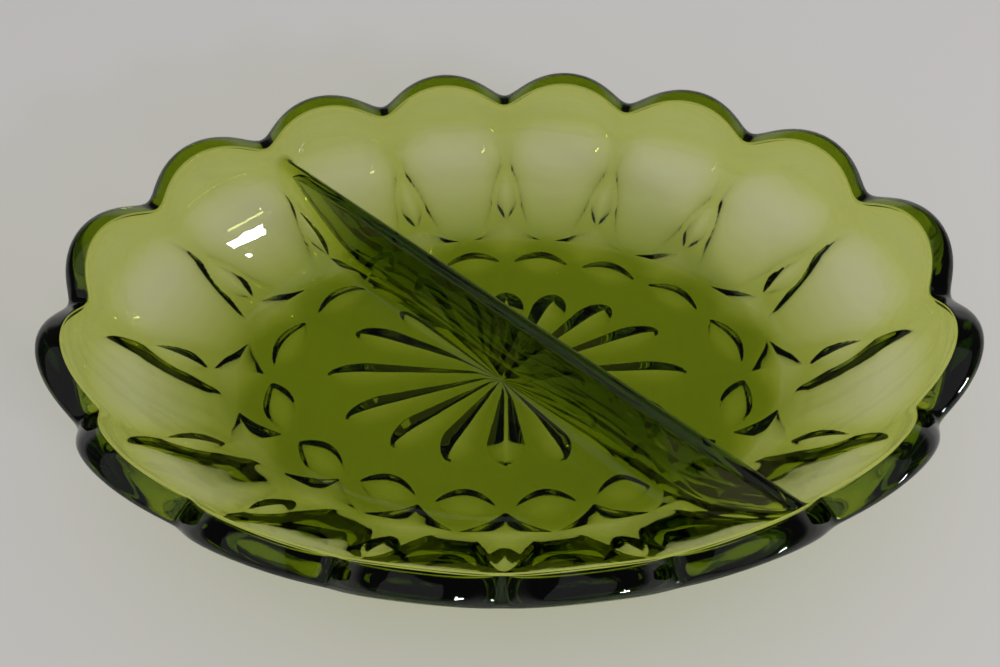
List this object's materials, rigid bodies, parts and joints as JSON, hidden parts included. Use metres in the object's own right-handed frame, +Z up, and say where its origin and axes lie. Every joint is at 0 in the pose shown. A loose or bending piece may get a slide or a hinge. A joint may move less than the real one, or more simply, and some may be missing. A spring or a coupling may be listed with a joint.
{
  "type": "divided dish",
  "caption": "Oval divided dish in clear olive green pressed glass, with a scalloped rim, a thumbprint wall, a star cut under the floor and a diagonal divider.",
  "frame": {"origin": "middle of the flat resting face under the floor", "axes": "+X along the length of the oval, +Y across it, +Z up"},
  "size_m": [0.2238, 0.1518, 0.0501],
  "materials": {
    "green_glass": "clear olive green soda-lime glass, pressed and fire polished"
  },
  "bodies": {
    "root": {"floor": "green_glass", "heel": "green_glass", "front_wall": "green_glass", "back_wall": "green_glass", "rim": "green_glass", "divider": "green_glass"}
  },
  "joints": []
}
